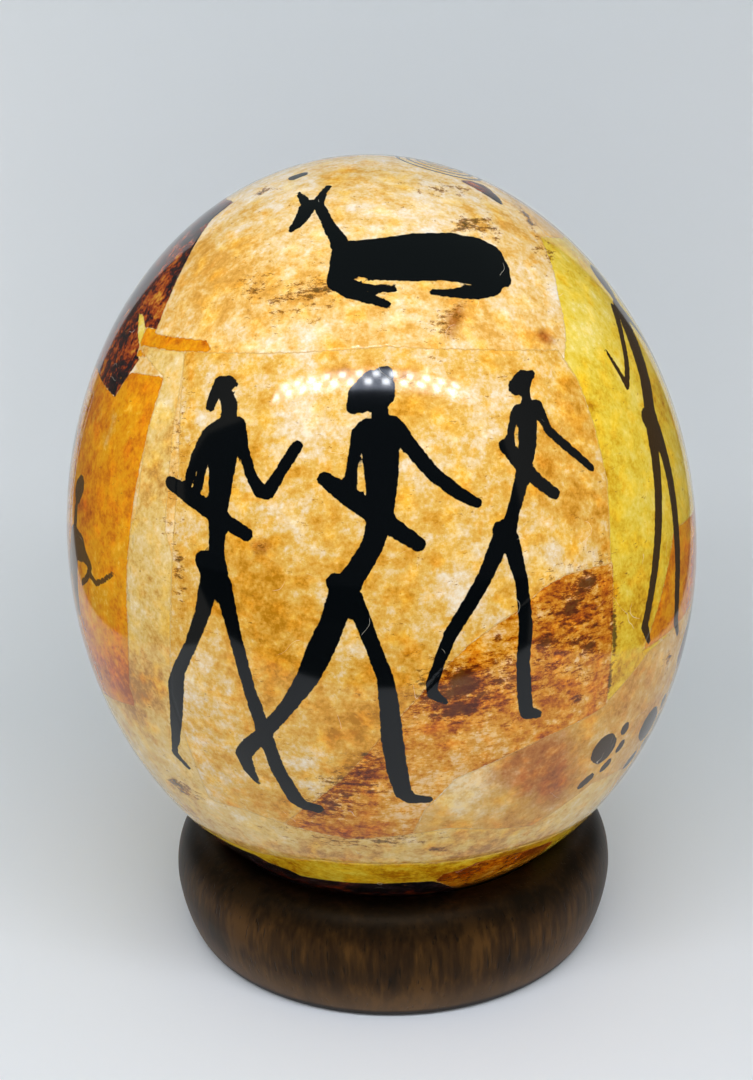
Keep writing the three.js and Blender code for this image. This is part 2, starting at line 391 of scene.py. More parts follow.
# %% Scraps in the order in which they were pasted
# (printed sheet, meridian in degrees, outline as (across, up) in mm)
SCRAPS = [
    ("pale", -60, [(-30, -60), (30, -60), (34, -10), (30, 8), (8, 30), (0, 50), (-30, 40)]),
    ("ochre", -60, [(-60, 41), (8, 46), (16.8, 46), (16.6, 20), (15, 0), (11, -16), (-12, -20), (-60, -16)]),
    ("night", -60, [(-60, 83), (-4, 84.5), (2, 84), (8.6, 52), (3, 41), (-12, 44), (-60, 41)]),
    ("peach", 60, [(-26, -11), (16, -12), (44, -20), (40, -60), (-34, -60), (-36, -22)]),
    ("yellow", 0, [(-48.5, 57), (-46, 56.5), (-43.5, 53.5), (-41.5, 50.8), (-44.5, 49.8), (-46.5, 52.5)]),
    ("ochre", 0, [(-44, 54.6), (-25.2, 54), (-25, 50.4), (-46, 48.9)]),
    ("sand", 0, [(-24, 86), (-31, 78.8), (-35, 67.5), (-40.5, 53.6), (-26.8, 53), (-25.6, 50), (46, 38),
        (52, 50), (60, 66), (44, 96), (-20, 96)]),
    ("peach", 60, [(4.5, 64), (22, 61), (24, 76), (14, 78), (8, 74.5)]),
    ("night", 60, [(1, 84), (4.4, 83), (6.6, 80.4), (4.2, 76.6), (1.4, 73.8)]),
    ("yellow", 60, [(-26, 40), (-17, 42), (-12.5, 47), (-8.5, 53), (-3.5, 59), (1.5, 65.4), (12, 63),
        (60, 62), (56, 4), (30, -11), (-12, -14), (-27, -22)]),
    ("ochre", 60, [(-1, 6), (26, 3), (26, -13), (-14, -13), (-8, -4)]),
    ("night", 60, [(4.6, -22), (8, -17.6), (15, -14), (15, -25), (6, -24.6)]),
    ("pale", 0, [(-46, 51.2), (-32, 50.8), (-32, 49), (-35, 36), (-38, 20), (-36, 12), (-34, -30),
        (-48, -34), (-54, -12), (-49, 7.5), (-41.3, 36.3), (-37, 46)]),
    ("cream", 0, [(-32, 51), (5, 50.2), (20, 47.4), (37, 44.2), (40.5, 38.4), (42.8, 30), (44.2, 20),
        (43.4, 10), (42.6, -4), (40.8, -20), (30, -36), (-20, -42), (-38, -34), (-41.5, -10), (-37.5, 12),
        (-34, 30)]),
    ("rust", 0, [(43.6, 6.2), (39, 6.6), (33, 7), (28, 5.8), (24, 3.4), (18.5, 1.2), (14.5, -0.8),
        (10.5, -3.8), (4.6, -9.4), (-1, -15), (-5, -19.8), (-10, -25.5), (-17.5, -32.5), (-24, -39.5),
        (-8, -44), (12, -38), (28, -28), (40.8, -20.8), (42.6, -6)]),
    ("peach", 0, [(42, -20.4), (36.6, -21.4), (27, -22.6), (20, -24.2), (10, -27.2), (4, -34), (-1, -46),
        (30, -50), (44, -40)]),
    ("pale", 0, [(-52, -34), (-30, -35), (-10, -41), (8, -40), (24, -46), (38, -40), (48, -42), (44, -56),
        (-44, -56)]),
    ("yellow", 0, [(-46, -49), (-30, -50.6), (-17, -48.8), (0, -50.4), (10, -52.2), (20, -52.8), (36, -55.4),
        (46, -52), (40, -78), (-40, -78)]),
    ("night", 0, [(-48, -50), (-31, -52.6), (-29, -54.6), (-24, -56.4), (-22, -58.8), (-10, -59.4),
        (0, -59.8), (4, -60.6), (7, -64), (11, -72), (8, -100), (-60, -100)]),
    ("rust", 0, [(4.6, -60.4), (6.2, -57.4), (10, -56.6), (13, -54.8), (20, -55.6), (30, -58), (27, -70),
        (22, -90), (12, -80), (7, -66)]),
    ("sand", 105, [(-14, 66), (24, 70), (26, 20), (18, 8), (-6, 2), (-16, 8), (-19, 40)]),
    ("cream", 105, [(-16, 10), (22, 14), (26, -22), (8, -28), (-18, -22)]),
    ("ochre", 135, [(-16, 30), (18, 34), (22, -2), (-4, -8), (-20, 2)]),
    ("pale", 128, [(-20, -4), (24, -8), (20, -40), (-16, -46)]),
    ("night", 118, [(-12, 77), (12, 78), (20, 62), (5, 54), (-12, 62)]),
    ("yellow", 150, [(-12, 64), (30, 66), (34, 34), (10, 30), (-14, 34)]),
    ("cream", 168, [(-18, 34), (22, 36), (26, 4), (20, -12), (-8, -18), (-22, -6)]),
    ("rust", 178, [(-14, -10), (16, -14), (22, -38), (-4, -44), (-20, -32)]),
    ("sand", 195, [(-20, 70), (14, 76), (24, 40), (8, 30), (-18, 36)]),
    ("yellow", 212, [(-12, 34), (22, 30), (24, 0), (6, -14), (-14, -6)]),
    ("peach", 205, [(-16, -10), (12, -14), (18, -46), (-10, -52)]),
    ("pale", 228, [(-16, 40), (16, 46), (20, 12), (14, -6), (-10, 2)]),
    ("ochre", 232, [(-18, -4), (16, -8), (20, -40), (-8, -48), (-22, -30)]),
    ("night", 222, [(-10, 80), (14, 84), (20, 52), (6, 40), (-10, 50)]),
    ("sand", 255, [(-20, 60), (16, 64), (18, 26), (8, 12), (-16, 18)]),
    ("cream", 262, [(-16, 16), (16, 12), (18, -28), (-2, -38), (-18, -26)]),
    ("rust", 278, [(-12, 38), (12, 40), (13, 4), (4, -6), (-12, 6)]),
    ("peach", 170, [(-30, -42), (34, -40), (30, -72), (-24, -76)]),
    ("yellow", 250, [(-24, -40), (22, -36), (18, -76), (-20, -80)]),
    ("pale", 105, [(-24, -40), (16, -44), (18, -72), (-18, -76)]),
]
SHEETS = ("cream", "pale", "yellow", "ochre", "night", "rust", "peach", "sand")

showing = {name: np.full(len(up), FAR) for name in SHEETS}
hidden_by = np.full(len(up), FAR)
for name, meridian, outline in reversed(SCRAPS):
    scrap = outline_distance(*sheet(meridian), outline)
    showing[name] = np.minimum(showing[name], np.maximum(scrap, -hidden_by))
    hidden_by = np.minimum(hidden_by, scrap)
print({name: int((field < 0).sum()) for name, field in showing.items()}, "points of each sheet")

# %% [markdown]
# ## Where the print is warmer, paler or speckled
# Rock isn't even. Soft spots, each a bell-shaped hill of strength, say where the printed stone turns more
# orange (above zero) or paler (below zero), and where dark specks of lichen and manganese gather.

# %% Warm and speckled places
# (meridian, across, up, half length, half breadth, turn in degrees, strength)
WARM_PLACES = [
    (0, -22, 12, 9, 14, 20, 0.34), (0, -18, -4, 10, 9, 0, 0.28), (0, 4, 52, 26, 4, 0, 0.14),
    (0, 13.5, 8, 5, 9, 0, -0.5), (0, 32, 30, 6, 9, 0, 0.14), (0, 14, 28, 7, 9, 10, -0.16),
    (0, -6, 52, 10, 4, 0, -0.12), (0, 0, 84, 24, 8, 0, -0.2), (0, -20, 68, 10, 10, 0, 0.16),
    (0, 34, 56, 9, 9, 0, -0.2), (0, 34, 11, 7, 4, 0, -0.2), (0, -34, -18, 8, 16, 0, -0.2),
    (0, 26, 48, 9, 3, 0, 0.26), (60, -6, 30, 8, 22, 0, -0.1), (60, 8, -4, 9, 7, 0, 0.3),
    (0, -11, 38, 5, 8, 0, -0.36), (0, 34.5, 46.8, 3.4, 1.8, -30, 0.4), (0, -26, 64, 9, 12, 0, 0.2),
    (0, -10, -55.5, 44, 6.5, 0, 0.5), (0, 11, -33, 4, 8, 0, -0.4), (0, -6, -15, 8, 8, 0, 0.26),
    (60, -16, -4, 8, 10, 0, 0.3), (60, -20, -22, 10, 6, 0, 0.1), (60, -8, 48, 8, 9, 0, -0.3),
    (-60, 6, 5, 12, 7, 0, -0.3), (-60, 9, -11, 14, 6.5, 0, 0.75), (0, 5, -31, 10, 8, 0, -0.42),
    (0, 16, -19, 8, 5, 0, -0.4), (0, -8, -23, 7, 5, 0, 0.2), (0, 0, -45, 34, 4, 0, 0.25),
    (0, 18.6, 54.4, 4, 2.4, 50, 0.5), (0, 30, 22, 8, 8, 0, 0.14), (0, -6, 46, 14, 4, 0, 0.14),
    (-60, 1, 62, 4, 14, 8, -0.26), (0, 36, 20, 9, 12, 0, 0.1), (0, 22, -58, 20, 5, 0, 0.3),
    (0, 18, -26, 12, 6, 0, -0.16),
]
SPECKLED_PLACES = [
    (0, -9, 60.5, 9, 3.4, 12, 0.36), (0, -4.5, 62.5, 4, 3, 0, 0.3), (0, -17, 64, 6, 3, 30, 0.3),
    (0, 16, 53.6, 5, 2.4, 55, 0.46), (0, 22, 72, 3.6, 2, 0, 0.5), (0, 27.5, 70, 4.5, 3.2, -20, 0.42),
    (60, -1, 62, 3.2, 3, 40, 0.5), (60, 5.5, 70.5, 6, 1.6, 48, 0.6), (60, -6, 82, 6, 2.6, -20, 0.4),
    (0, -17, 88, 3.2, 1, 25, 0.8), (0, -34.4, 32, 2.2, 12, -12, 0.33), (0, -35.5, 13, 1.4, 6, 0, 0.45),
    (0, 36, 4, 6, 4, 15, 0.2), (0, 14, -7, 9, 4, 20, 0.2), (0, -5, -22, 6, 2.6, 42, 0.4),
    (0, -16, -34, 7, 2.4, 40, 0.4), (0, 24, -11, 14, 6, 0, 0.35), (0, 34, -0.5, 11, 8, 0, 0.42),
    (0, 9.5, -9.5, 8, 6, 0, 0.44), (0, -8, -28.5, 10, 6, 40, 0.42), (0, 37.4, 4.4, 1.7, 1.1, 0, 0.8),
    (0, 33.5, 0.8, 1.4, 1.1, 0, 0.8), (0, 27.9, -3.7, 1.5, 1.1, 0, 0.7), (0, 36.6, -7.2, 1.4, 1, 0, 0.7),
    (0, 34, -16.6, 1.2, 0.9, 0, 0.9), (0, 19.2, -0.6, 1.2, 0.9, 0, 0.6), (0, 12.6, -7.4, 1.6, 2, 0, 0.6),
    (0, 11.2, -13, 2.4, 1, 0, 0.6), (0, 20, -24.6, 3, 0.9, 0, 0.4), (0, 42.9, -5.5, 4, 0.5, 92, 1.2),
    (0, 41.8, -15, 5, 0.45, 80, 0.8), (0, -18.6, 18, 3, 3, 0, 0.3), (-60, 14, -34, 5, 2.4, 0, 0.7),
    (0, -6, -41.5, 14, 2.2, 0, 0.5), (0, 6, -46.6, 2.2, 1, -20, 0.95), (60, -2, -19, 2.6, 3.2, 0, 0.5),
    (150, 0, 46, 12, 3, 20, 0.6), (190, 4, 18, 10, 3, -30, 0.6), (240, -2, 24, 9, 3, 35, 0.6),
    (120, 0, -20, 8, 4, 0, 0.5),
]
ROSY_PLACES = [
    (0, 25, -28, 10, 7.5, 0, 1.2), (0, 29, -38, 7, 6, 0, 0.6), (0, 16.8, 53.2, 4.5, 2.2, 62, 0.75),
    (0, 34.5, 46.9, 3.4, 1.6, -30, 0.8), (0, -18.8, 18, 2.8, 2.4, 0, 0.7), (-60, 2, 36, 10, 5, 0, 0.5),
    (205, 0, -30, 10, 12, 0, 1.2), (150, 10, 20, 5, 4, 20, 0.7), (240, -6, 44, 5, 3, -30, 0.7),
]


def soft_hills(places):
    """The sum of strength * exp(-(along / half length)^2 - (aside / half breadth)^2) over the places."""
    total = np.zeros(len(up))
    for meridian, centre_x, centre_y, half_length, half_breadth, turn, strength in places:
        x, y = sheet(meridian)
        turn_cos, turn_sin = math.cos(math.radians(turn)), math.sin(math.radians(turn))
        along = (x - centre_x) * turn_cos + (y - centre_y) * turn_sin
        aside = (y - centre_y) * turn_cos - (x - centre_x) * turn_sin
        total += strength * np.exp(-((along / half_length) ** 2) - (aside / half_breadth) ** 2)
    return total


warmth = soft_hills(WARM_PLACES)
specks = soft_hills(SPECKLED_PLACES)
rosiness = soft_hills(ROSY_PLACES)
RINGS_MERIDIAN, RINGS_UP = 84, 90
ring_x, ring_up = sheet(RINGS_MERIDIAN)
rings_middle = egg_points[np.argmin(np.hypot(ring_x, ring_up - RINGS_UP))]
arcs = np.linalg.norm(egg_points - rings_middle, axis=1)  # distance from the middle of a painted set of rings
FIELDS = {f"{name}_mm": showing[name] for name in SHEETS[:-1]}
FIELDS.update(ink_mm=ink, brown_ink=brown_ink, rosiness=rosiness, warmth=warmth, specks=specks, arcs_mm=arcs)
print("warmth from", round(warmth.min(), 2), "to", round(warmth.max(), 2))
print("specks up to", round(specks.max(), 2))

# %% [markdown]
# ## The lacquered paper
# Printed paper is matt and a little fibrous, but under several coats of clear varnish only the colour is left
# of it: the surface itself is the varnish, smooth, colourless and shiny, with the index of refraction of a
# resin. That is why a white room shows in it as a pale veil and black paint turns grey there. The ink's edge
# wanders a little, as a print on rough paper does, and fine hairs of paper fibre are caught under the
# varnish.

# %% Paper colours
# Each sheet's colours from its darkest to its palest patches, and how far its print is shifted on the rock.
PAPER_COLOURS = {
    "sand": [(0.14, "#C58A33"), (0.34, "#D9A249"), (0.5, "#E1BB76"), (0.66, "#E6CDA6"), (0.86, "#ECE0D2")],
    "cream": [(0.14, "#AE7210"), (0.32, "#CF922C"), (0.5, "#DAAD53"), (0.68, "#E0C598"), (0.86, "#E8DAC4")],
    "pale": [(0.14, "#A87430"), (0.32, "#CC9A48"), (0.5, "#DBB768"), (0.68, "#E2C68E"), (0.86, "#ECDCBA")],
    "yellow": [(0.04, "#A06204"), (0.26, "#CE9E16"), (0.5, "#DEBE38"), (0.74, "#E6CE64"), (0.94, "#EEDC98")],
    "ochre": [(0.14, "#A04C02"), (0.34, "#C87006"), (0.52, "#D88C08"), (0.68, "#DE9E12"), (0.86, "#E6B448")],
    "night": [(0.26, "#0E0D10"), (0.46, "#2A1E20"), (0.56, "#6A2410"), (0.68, "#A84814"), (0.86, "#CE9430")],
    "rust": [(0.18, "#7A3204"), (0.36, "#B05E08"), (0.52, "#CA8218"), (0.66, "#D69C3C"), (0.86, "#E4BE8C")],
    "peach": [(0.14, "#A86C1A"), (0.34, "#C68E38"), (0.52, "#D0A252"), (0.68, "#D8B274"), (0.86, "#E4CCA0")],
    "rose": [(0.14, "#70380E"), (0.34, "#985420"), (0.52, "#AE6C2C"), (0.68, "#BC8246"), (0.86, "#D0A674")],
}
PRINT_SHIFT = {
    "cream": (0.31, 0.12, 0.05), "pale": (0.07, 0.53, 0.21), "yellow": (0.62, 0.09, 0.33),
    "ochre": (0.17, 0.71, 0.44), "night": (0.83, 0.27, 0.58), "rust": (0.41, 0.36, 0.77),
    "peach": (0.55, 0.91, 0.13),
}
CUT_SOFTNESS = 0.06  # mm on either side of an edge over which one colour gives way to the next
TORN_WANDER, INK_WANDER = 0.7, 0.5  # mm by which the paper's and the ink's edges wander
RING_WAVE = 3.3  # radians per mm, which sets the painted rings 1.9 mm apart
RINGS_REACH = 9.4  # mm


# %% The lacquered paper material
def lacquered_paper():
    """Printed paper under clear varnish, from the distances that the egg's mesh carries."""
    material, add = new_material("lacquered_printed_paper")
    place = add("TexCoord").outputs["Object"]
    # An edge wanders by a few tenths of a millimetre: noise with bumps 0.9 mm wide.
    wander = add("TexNoise", {"Vector": place, "Scale": 1100, "Detail": 2})
    field = {name: add("Attribute", attribute_name=name).outputs["Fac"] for name in FIELDS}

    covers, seams = {}, None
    printed_place = place
    for name in SHEETS[:-1]:
        torn = add("Math", {0: wander, 1: TORN_WANDER, 2: field[f"{name}_mm"]}, operation="MULTIPLY_ADD")
        torn = add("Math", {0: torn, 1: TORN_WANDER / 2}, operation="SUBTRACT")
        covers[name] = add("MapRange", {"Value": torn, "From Min": CUT_SOFTNESS, "From Max": -CUT_SOFTNESS})
        near = add("Math", {0: torn}, operation="ABSOLUTE")
        seams = near if seams is None else add("Math", {0: seams, 1: near}, operation="MINIMUM")
        shift = add("VectorMath", {0: PRINT_SHIFT[name], "Scale": covers[name]}, operation="SCALE")
        printed_place = add("VectorMath", {0: printed_place, 1: shift}, operation="ADD")

    # Printed stone: clouds 13 mm wide, mottling 4 mm wide, streaks, flecks 2 mm wide and finer grain.
    brushed = add("Mapping", {"Vector": printed_place, "Rotation": (0.5, 0.7, 0.4), "Scale": (1, 3.2, 3.2)})
    patterns = [
        (add("TexNoise", {"Vector": where, "Scale": scale, "Detail": detail, "Roughness": rough}), strength)
        for where, scale, detail, rough, strength in (
            (printed_place, 75, 2, 0.5, 0.6),
            (printed_place, 240, 5, 0.62, 0.75),
            (brushed, 130, 4, 0.6, 0.5),
            (printed_place, 520, 4, 0.75, 0.85),
            (printed_place, 1500, 2, 0.5, 0.4),
        )
    ]
    mottling = patterns[1][0]
    level_grain = add("Mapping", {"Vector": place, "Scale": (1, 1, 2.6)})
    lichen = add("TexNoise", {"Vector": level_grain, "Scale": 420, "Detail": 5, "Roughness": 0.8})
    level_streaks = add("Math", {0: lichen, 1: 0.5}, operation="SUBTRACT")
    level_streaks = add("Math", {0: level_streaks, 1: covers["rust"]}, operation="MULTIPLY")
    tone = add("Math", {0: field["warmth"], 1: -0.5, 2: 0.5}, operation="MULTIPLY_ADD")
    tone = add("Math", {0: level_streaks, 1: -1.1, 2: tone}, operation="MULTIPLY_ADD")
    for pattern, strength in patterns:
        centred = add("Math", {0: pattern, 1: 0.5}, operation="SUBTRACT")
        tone = add("Math", {0: centred, 1: strength, 2: tone}, operation="MULTIPLY_ADD")

    rosy = add("Math", {0: mottling, 1: 1.2, 2: field["rosiness"]}, operation="MULTIPLY_ADD")
    rosy = add("MapRange", {"Value": rosy, "From Min": 0.95, "From Max": 1.45})
    off_rust = add("Math", {0: 1, 1: covers["rust"]}, operation="SUBTRACT")
    covers["rose"] = add("Math", {0: rosy, 1: off_rust}, operation="MULTIPLY")
    # The first sheet lies under all the others, and the rosy stains come last.
    colour = None
    for name, stops in PAPER_COLOURS.items():
        shades = add("ValToRGB", {"Fac": tone})
        set_ramp(shades.color_ramp, stops)
        mixed = {"Factor": covers.get(name), 6: colour, 7: shades}
        colour = add("Mix", mixed, data_type="RGBA") if colour else shades

    # Stone isn't all of one hue: some patches are yellower and some pinker.
    hue = add("TexNoise", {"Vector": printed_place, "Scale": 260, "Detail": 4}).outputs[1]
    hue = add("SeparateColor", {"Color": hue})
    on_stone = add("Math", {0: covers["night"], 1: -0.55, 2: 0.55}, operation="MULTIPLY_ADD")
    for channel, tint in (("Red", "#F0C030"), ("Green", "#F4CDB0")):
        patch = add("MapRange", {"Value": hue.outputs[channel], "From Min": 0.52, "From Max": 0.68})
        patch = add("Math", {0: patch, 1: on_stone}, operation="MULTIPLY")
        tinted = {"Factor": 1, 6: colour, 7: linear(tint)}
        tinted = add("Mix", tinted, data_type="RGBA", blend_type="SOFT_LIGHT")
        colour = add("Mix", {"Factor": patch, 6: colour, 7: tinted}, data_type="RGBA")

    # Specks: where a fine noise, drawn out level, rises above a level that sinks in speckled places.
    level = add("Math", {0: field["specks"], 1: 0.34, 2: lichen}, operation="MULTIPLY_ADD")
    speck = add("MapRange", {"Value": level, "From Min": 0.62, "From Max": 0.68, "To Max": 0.88})
    depth = add("MapRange", {"Value": level, "From Min": 0.65, "From Max": 0.76})
    light, dark = [
        add("Mix", {"Factor": covers["rust"], 6: linear(other), 7: linear(rust)}, data_type="RGBA")
        for other, rust in (("#A8681C", "#9A4206"), ("#3E2A0C", "#421606"))
    ]
    speck_colour = add("Mix", {"Factor": depth, 6: light, 7: dark}, data_type="RGBA")

    # A seam is a thin shadow along the paper's cut edge, here and there only.
    seam_line = add("MapRange", {"Value": seams, "From Min": 0.22, "From Max": 0.05})
    seam_patches = add(
        "MapRange", {"Value": mottling, "From Min": 0.42, "From Max": 0.62, "To Min": 0.04, "To Max": 0.32}
    )
    seam_shade = add("Math", {0: seam_line, 1: seam_patches}, operation="MULTIPLY")

    # Painted rings round one middle.
    ring_phase = add("Math", {0: field["arcs_mm"], 1: RING_WAVE}, operation="MULTIPLY")
    ring_wave = add("Math", {0: ring_phase}, operation="SINE")
    ring_line = add("MapRange", {"Value": ring_wave, "From Min": 0.35, "From Max": 0.75, "To Max": 0.95})
    reach = {"Value": field["arcs_mm"], "From Min": RINGS_REACH + 0.1, "From Max": RINGS_REACH - 0.1}
    ring_zone = add("MapRange", reach)
    ring_ink = add("Math", {0: ring_line, 1: ring_zone}, operation="MULTIPLY")

    # Ink: inside a stroke, with a wandering edge. Some figures were printed in brown, not black.
    ragged = add("Math", {0: wander, 1: INK_WANDER, 2: field["ink_mm"]}, operation="MULTIPLY_ADD")
    edge = {"From Min": INK_WANDER / 2 + CUT_SOFTNESS, "From Max": INK_WANDER / 2 - CUT_SOFTNESS}
    inked = add("MapRange", {"Value": ragged, **edge})
    inked = add("Math", {0: inked, 1: ring_ink}, operation="MAXIMUM")
    inks = {"Factor": field["brown_ink"], 6: linear("#05080A"), 7: linear("#6E4C18")}
    ink_colour = add("Mix", inks, data_type="RGBA")

    # Hairs of paper fibre: thin level lines of a slow noise, kept only in a few patches.
    slow = add("TexNoise", {"Vector": place, "Scale": 91, "Detail": 1.5})
    off_level = add("Math", {0: slow, 1: 0.5}, operation="SUBTRACT")
    off_level = add("Math", {0: off_level}, operation="ABSOLUTE")
    hair = add("MapRange", {"Value": off_level, "From Min": 0.0014, "From Max": 0.0005})
    hair_patches = add("TexNoise", {"Vector": place, "Scale": 150, "Detail": 1})
    hair_patches = add("MapRange", {"Value": hair_patches, "From Min": 0.63, "From Max": 0.66, "To Max": 0.5})
    hair = add("Math", {0: hair, 1: hair_patches}, operation="MULTIPLY")

    # What lies on the stone, from the bottom up.
    for share, overlay_colour in (
        (speck, speck_colour), (seam_shade, linear("#4A2A10")), (inked, ink_colour), (hair, linear("#EFE6D2"))
    ):
        colour = add("Mix", {"Factor": share, 6: colour, 7: overlay_colour}, data_type="RGBA")

    # The varnish follows the paper's thickness: a soft step of a fortieth of a millimetre at each seam.
    seam_step = add("MapRange", {"Value": seams, "From Max": 0.6}, interpolation_type="SMOOTHSTEP")
    relief = add("Math", {0: hair, 1: 0.5, 2: seam_step}, operation="MULTIPLY_ADD")
    bump = add("Bump", {"Height": relief, "Distance": 0.000025, "Strength": 1})
    varnish = add("BsdfPrincipled", {"Base Color": colour, "Normal": bump, "Roughness": 0.08, "IOR": 1.42})
    add("OutputMaterial", {"Surface": varnish})
    return material


# %% The egg
egg = new_piece("papered_egg", egg_points, egg_quads, lacquered_paper())
for name, field in FIELDS.items():
    egg.data.attributes.new(name, "FLOAT", "POINT").data.foreach_set("value", field.astype(np.float32))
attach(egg, "root")
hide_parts("ostrich_egg")

# %% [markdown]
# ## The wooden ring
# The ring was turned on a lathe: a fat roll with a flat foot and a hole that the egg's end drops into. A
# lathe leaves a surface of revolution, so the mesh is one closed section carried round the axis.

# %% Section of the ring
RING_MIDDLE_X = 1.25
RING_DIAMETER = 93.2
RING_FOOT_DIAMETER = 85
RING_CREST_DIAMETER = 78.8
RING_BORE_DIAMETER = 66
RING_BORE_MOUTH = 70
RING_HEIGHT = 23.2
RING_BELLY_HEIGHT = 12.5
FOOT_ROUNDING = 1.5
ROLL_ROUNDING = 2.2
RING_TURNS = 288  # cells round the ring
ARC_STEPS = 24  # cells along each arc of the section
FOOT_POINTS = 9  # points across the flat foot


def quarter_arc(start, end, exponent):
    """A quarter superellipse: x goes as 1 - cos^(2/e), z as sin^(2/e) of an angle from 0 to 90 degrees."""
    quarter = np.linspace(0, np.pi / 2, ARC_STEPS + 1)
    x = start[0] + (end[0] - start[0]) * (1 - np.abs(np.cos(quarter)) ** (2 / exponent))
    z = start[1] + (end[1] - start[1]) * np.sin(quarter) ** (2 / exponent)
    return np.stack([x, z], axis=1)


belly, crest = (RING_DIAMETER / 2, RING_BELLY_HEIGHT), (RING_CREST_DIAMETER / 2, RING_HEIGHT)
bore = (RING_BORE_DIAMETER / 2, RING_BELLY_HEIGHT)
foot, mouth = (RING_FOOT_DIAMETER / 2, 0), (RING_BORE_MOUTH / 2, 0)
section = np.concatenate(
    [
        quarter_arc(belly, foot, FOOT_ROUNDING)[::-1],
        quarter_arc(belly, crest, ROLL_ROUNDING)[1:],
        quarter_arc(bore, crest, ROLL_ROUNDING)[::-1][1:],
        quarter_arc(bore, mouth, FOOT_ROUNDING)[1:],
        np.linspace(mouth, foot, FOOT_POINTS)[1:-1],
    ]
)
turn = np.linspace(0, 2 * np.pi, RING_TURNS, endpoint=False)
ring_points = np.stack(
    [
        RING_MIDDLE_X + np.outer(np.sin(turn), section[:, 0]),
        -np.outer(np.cos(turn), section[:, 0]),
        np.tile(section[:, 1], (RING_TURNS, 1)),
    ],
    axis=-1,
).reshape(-1, 3)
i, j = np.meshgrid(np.arange(RING_TURNS), np.arange(len(section)), indexing="ij")
next_i, next_j = (i + 1) % RING_TURNS, (j + 1) % len(section)
ring_quads = np.stack([i, next_i, next_i, i], axis=-1) * len(section)
ring_quads += np.stack([j, j, next_j, next_j], axis=-1)
ring_quads = ring_quads.reshape(-1, 4)
print("ring section:", len(section), "points")

# %% [markdown]
# ## Dark hardwood
# The ring is a dark African hardwood, sanded, oiled and waxed to a soft sheen. Its fibres stand upright, so
# its stripes run up and down the outside: broad bands of olive and dark brown, and short open pores a few
# millimetres long. A noise stretched along Z draws each of them.

# %% The wood material
def oiled_hardwood():
    """Dark hardwood with upright stripes and pores, rubbed with oil and wax."""
    material, add = new_material("oiled_dark_hardwood")
    place = add("TexCoord").outputs["Object"]
    upright = add("Mapping", {"Vector": place, "Rotation": (0, 0.16, 0), "Scale": (1, 1, 0.16)})
    bands = add("TexNoise", {"Vector": upright, "Scale": 130, "Detail": 4, "Distortion": 0.6})
    fibres = add("TexNoise", {"Vector": upright, "Scale": 900, "Detail": 3})
    clouds = add("TexNoise", {"Vector": place, "Scale": 45, "Detail": 2})
    tone = -0.09
    for pattern, strength in ((bands, 0.8), (fibres, 0.62), (clouds, 0.45)):
        tone = add("Math", {0: pattern, 1: strength, 2: tone}, operation="MULTIPLY_ADD")
    shades = add("ValToRGB", {"Fac": tone})
    set_ramp(shades.color_ramp, [(0.6, "#1A0F06"), (0.76, "#281809"), (0.88, "#37230D"), (1, "#4C3214")])
    pores = add("Mapping", {"Vector": place, "Rotation": (0, 0.16, 0), "Scale": (1, 1, 0.09)})
    pores = add("TexNoise", {"Vector": pores, "Scale": 1700, "Detail": 1})
    pores = add("MapRange", {"Value": pores, "From Min": 0.66, "From Max": 0.72, "To Max": 0.75})
    colour = add("Mix", {"Factor": pores, 6: shades, 7: linear("#0E0906")}, data_type="RGBA")
    # Painted shade darkens the crest of the roll, where the egg overhangs it; painted light and reflection
    # from the floor make the foot's edge lighter and greyer; and a dark line of painted shadow runs just
    # above the table.
    height = add("SeparateXYZ", {"Vector": place}).outputs["Z"]
    # near-black painted shade, for the crest under the egg and the thin painted shadow above the table
    painted_shade = linear("#0A0805")
    # painted light and reflection from the floor on the foot's edge, streaked like the bands
    painted_floor_light = add("Mix", {"Factor": bands, 6: linear("#4E3826"), 7: linear("#8C6C4C")}, data_type="RGBA")
    for none_at, full_at, strength, easing, overlay_colour in (
        # painted shade on the crest, under the egg's overhang
        (0.0155, 0.0215, 0.8, "SMOOTHSTEP", painted_shade),
        # painted light from the floor, lightening the foot's edge
        (0.01, 0.002, 0.52, "SMOOTHSTEP", painted_floor_light),
        # painted shadow in a thin dark line just above the table
        (0.0021, 0.0013, 0.92, "LINEAR", painted_shade),
    ):
        heights = {"Value": height, "From Min": none_at, "From Max": full_at, "To Max": strength}
        share = add("MapRange", heights, interpolation_type=easing)
        colour = add("Mix", {"Factor": share, 6: colour, 7: overlay_colour}, data_type="RGBA")
    bump = add("Bump", {"Height": pores, "Distance": -0.00008, "Strength": 0.6})
    sheen = {"Roughness": 0.42, "IOR": 1.25, "Specular Tint": linear("#FFE2B8")}
    wood = add("BsdfPrincipled", {"Base Color": colour, "Normal": bump, **sheen})
    add("OutputMaterial", {"Surface": wood})
    return material


# %% The ring
ring = new_piece("turned_ring", ring_points, ring_quads, oiled_hardwood())
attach(ring, "root")
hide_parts("ring_stand")

# %% [markdown]
# ## Floor, white box and light
# The object stands in a small white box, open at the front, with a row of light points along its upper front
# edge. A shiny egg is a round mirror: most of its look is this box, seen in its varnish. The walls glow
# softly and the camera doesn't see them; the dark room in front of the box shows in the middle of the egg.

# %% Stage
def plain_material(name, colour, glow=0):
    """A single colour, matt, or glowing with that strength where glow isn't zero."""
    material, add = new_material(name)
    if glow:
        surface = add("Emission", {"Color": linear(colour), "Strength": glow})
    else:
        surface = add("BsdfPrincipled", {"Base Color": linear(colour), "Roughness": 0.6})
    add("OutputMaterial", {"Surface": surface})
    return material


def white_card():
    """Matt white card, seen from its front only, so that it doesn't hide the object from behind."""
    material, add = new_material("matt_white_card")
    card = add("BsdfPrincipled", {"Base Color": linear("#ECF1F8"), "Roughness": 0.8})
    from_behind = add("NewGeometry").outputs["Backfacing"]
    clear = add("BsdfTransparent")
    both = add("MixShader", {0: from_behind, 1: card, 2: clear})
    add("OutputMaterial", {"Surface": both})
    return material


GLOW_FRONT, GLOW_BACK = -0.2, 0.04  # m, from where to where a card's glow fades on its way back


